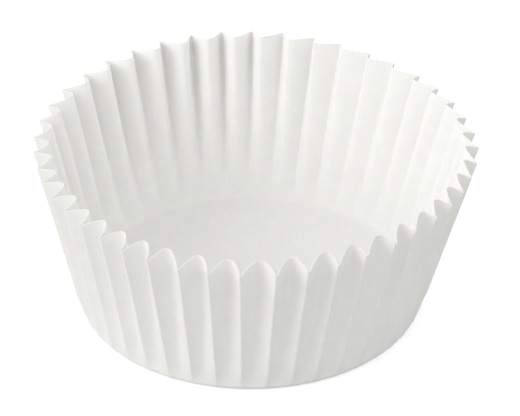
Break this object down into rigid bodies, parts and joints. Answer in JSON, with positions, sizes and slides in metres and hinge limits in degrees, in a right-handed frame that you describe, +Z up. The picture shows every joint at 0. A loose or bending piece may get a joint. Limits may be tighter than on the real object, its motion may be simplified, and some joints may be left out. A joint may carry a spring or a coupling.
{
  "type": "cupcake liner",
  "caption": "Round paper baking cup with a flat floor, a rounded bottom corner and a flaring, finely fluted wall with a zigzag rim.",
  "frame": {"origin": "centre of the floor's underside", "axes": "+Z up the cup's axis, out of its mouth; +Y through the top of one ridge"},
  "size_m": [0.0682, 0.0683, 0.0271],
  "materials": {
    "paper": "matte"
  },
  "bodies": {
    "root": {"paper_liner": "paper"}
  },
  "joints": []
}
